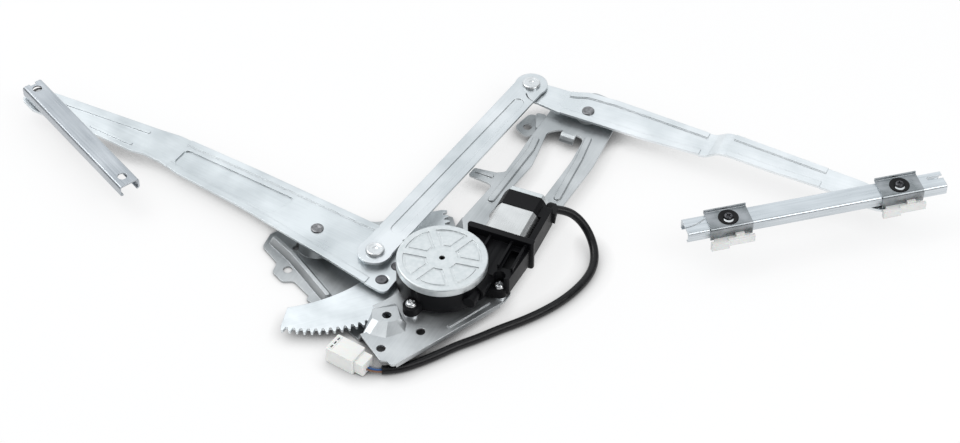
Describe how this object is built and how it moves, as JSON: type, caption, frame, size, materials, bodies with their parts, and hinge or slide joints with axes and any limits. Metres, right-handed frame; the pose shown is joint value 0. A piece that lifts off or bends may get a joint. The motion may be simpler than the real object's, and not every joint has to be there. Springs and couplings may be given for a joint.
{
  "type": "window regulator",
  "caption": "Flat pressed steel window regulator with two counter-rotating lift arms, a crossed link bar, sliding glass rails and a worm gear motor.",
  "frame": {"origin": "centre of the wing hole of the base plate, on the plane that the plate lies on", "axes": "+X along the span from the short rail to the long rail, +Y from the motor panel towards the frame's upper end, +Z out of the base plate, towards the gear motor's cover"},
  "size_m": [0.7167, 0.3047, 0.0416],
  "materials": {
    "zinc_base": "galvanised pressed sheet, satin, light spangle",
    "zinc_arm": "bright zinc plated pressed sheet",
    "zinc_link": "bright zinc plated strip",
    "zinc_gear": "zinc plated stamped sector, sheared edges",
    "rivet_steel": "zinc plated rivets with spun heads",
    "rail_steel": "rolled zinc plated channel",
    "roller_nylon": "grey moulded nylon",
    "clip_steel": "bright zinc plated spring clip",
    "clip_nylon": "white moulded nylon",
    "black_rubber": "black rubber",
    "housing_black": "black glass-filled nylon, satin",
    "cover_zinc": "silver pressed cover, fine grain",
    "screw_steel": "bright screws and spacers",
    "can_steel": "drawn zinc plated can",
    "pinion_steel": "hardened steel",
    "wheel_nylon": "natural nylon",
    "copper": "copper segments",
    "magnet": "sintered ferrite",
    "carbon": "carbon brush",
    "cable_black": "black sleeve over the wires",
    "plug_white": "white moulded nylon",
    "wire_blue": "insulated wires, two bluish and one brown"
  },
  "bodies": {
    "root": {"base_plate": "zinc_base", "ear_bracket": "zinc_base", "left_pivot_rivet": "rivet_steel", "right_pivot_rivet": "rivet_steel", "gearbox_housing": "housing_black", "gearbox_cover": "cover_zinc", "motor_screws": "screw_steel", "motor_spacers": "screw_steel", "motor_can": "can_steel", "motor_band": "housing_black", "motor_cap": "can_steel", "motor_magnets": "magnet", "brushes": "carbon", "cable_gland": "black_rubber", "cable_tube": "cable_black", "plug_housing": "plug_white", "plug_rear": "plug_white", "lead_wires": "wire_blue"},
    "left_arm": {"left_lift_arm": "zinc_arm", "sector_gear": "zinc_gear", "sector_rivets": "rivet_steel", "link_lower_rivet": "rivet_steel", "left_roller_pin": "rivet_steel"},
    "link": {"link_bar": "zinc_link", "link_upper_rivet": "rivet_steel"},
    "right_arm": {"right_lift_arm": "zinc_arm", "right_roller_pin": "rivet_steel"},
    "pinion": {"output_pinion": "pinion_steel", "worm_wheel": "wheel_nylon", "damper_ring": "black_rubber"},
    "armature": {"armature_shaft": "pinion_steel", "armature_core": "pinion_steel", "commutator": "copper"},
    "left_roller": {"left_roller": "roller_nylon"},
    "left_rail": {"left_glass_rail": "rail_steel"},
    "right_roller": {"right_roller": "roller_nylon"},
    "right_rail": {"right_glass_rail": "rail_steel", "clip_near": "clip_steel", "clip_far": "clip_steel", "clip_pad_near": "clip_nylon", "clip_pad_far": "clip_nylon", "clip_grommets": "black_rubber", "clip_studs": "rivet_steel"}
  },
  "joints": [
    {"name": "left_arm_swing", "type": "hinge", "parent": "root", "child": "left_arm", "pos_m": [0.0215, 0.0284, 0.0156], "axis": [0, 0, 1], "range_deg": [-34, 30]},
    {"name": "link_turn", "type": "hinge", "parent": "left_arm", "child": "link", "pos_m": [0.06609, -0.00025, 0.0209], "axis": [0, 0, 1], "range_deg": [-36, 36]},
    {"name": "right_arm_swing", "type": "hinge", "parent": "root", "child": "right_arm", "pos_m": [0.22983, 0.15657, 0.0182], "axis": [0, 0, 1], "range_deg": [-36, 36]},
    {"name": "pinion_spin", "type": "hinge", "parent": "root", "child": "pinion", "pos_m": [0.11651, -0.02579, 0.02], "axis": [0, 0, 1], "continuous": true},
    {"name": "armature_spin", "type": "hinge", "parent": "root", "child": "armature", "pos_m": [0.14504, -0.0379, 0.0277], "axis": [0.3907, 0.9205, 0], "continuous": true},
    {"name": "left_roller_swivel", "type": "hinge", "parent": "left_arm", "child": "left_roller", "pos_m": [-0.20408, 0.16976, 0.022], "axis": [0, 0, 1], "range_deg": [-40, 65]},
    {"name": "left_rail_slide", "type": "slide", "parent": "left_roller", "child": "left_rail", "axis": [0.6129, -0.7902, 0], "range_m": [-0.115, 0.002]},
    {"name": "right_roller_swivel", "type": "hinge", "parent": "right_arm", "child": "right_roller", "pos_m": [0.44651, 0.0487, 0.032], "axis": [0, 0, 1], "range_deg": [-35, 60]},
    {"name": "right_rail_slide", "type": "slide", "parent": "right_roller", "child": "right_rail", "axis": [0.9675, 0.2529, 0], "range_m": [-0.002, 0.105]}
  ],
  "couplings": [
    {"joint": "link_turn", "follows": "left_arm_swing", "ratio": -1},
    {"joint": "right_arm_swing", "follows": "left_arm_swing", "ratio": -1},
    {"joint": "pinion_spin", "follows": "left_arm_swing", "ratio": -10.364},
    {"joint": "armature_spin", "follows": "left_arm_swing", "ratio": -559.64}
  ]
}
